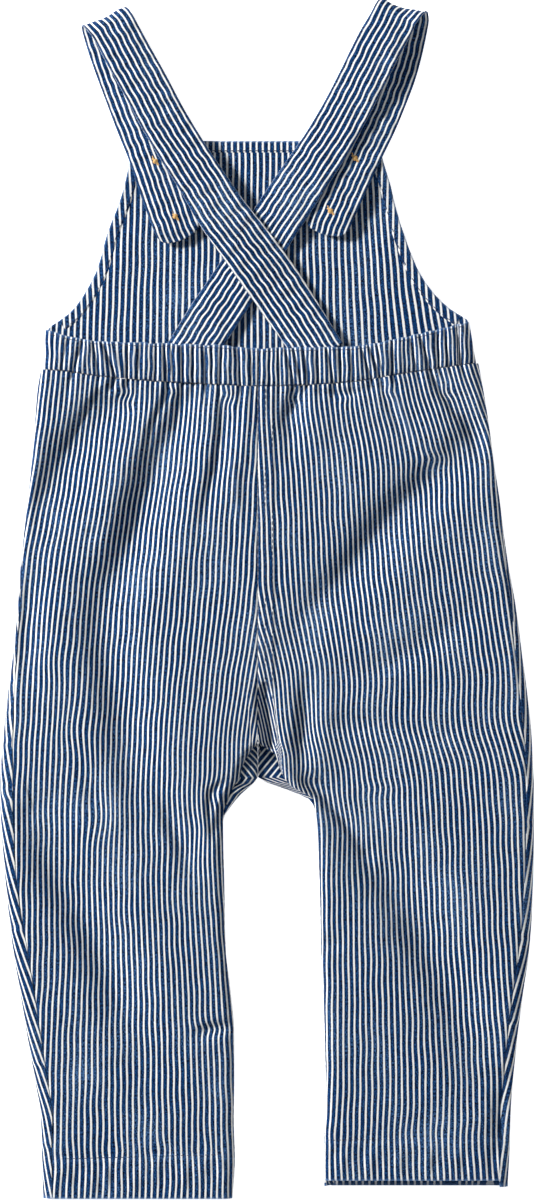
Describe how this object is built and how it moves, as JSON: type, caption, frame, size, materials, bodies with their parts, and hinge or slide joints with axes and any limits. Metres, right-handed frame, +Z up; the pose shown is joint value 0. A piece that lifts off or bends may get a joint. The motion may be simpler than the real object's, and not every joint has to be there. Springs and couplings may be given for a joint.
{
  "type": "dungarees",
  "caption": "Baby dungarees in striped denim, laid out flat with the back up: bib, gathered back waistband, crossed straps over the shoulders and two open legs.",
  "frame": {"origin": "centre of the bottom of the bounding box, on the surface the garment lies on", "axes": "+Z up out of the back of the garment, +Y from the hems towards the straps, +X to the right as seen from above"},
  "size_m": [0.2876, 0.6448, 0.0125],
  "materials": {
    "denim": "heathered navy twill with narrow off-white stripes, matte",
    "button": "horn-coloured, softly polished"
  },
  "bodies": {
    "root": {"bib": "denim", "front_left": "denim", "front_right": "denim", "back_left": "denim", "back_right": "denim", "waistband": "denim", "strap_left": "denim", "strap_right": "denim", "button_left_upper": "button", "button_left_lower": "button", "button_right_upper": "button", "button_right_lower": "button"}
  },
  "joints": []
}
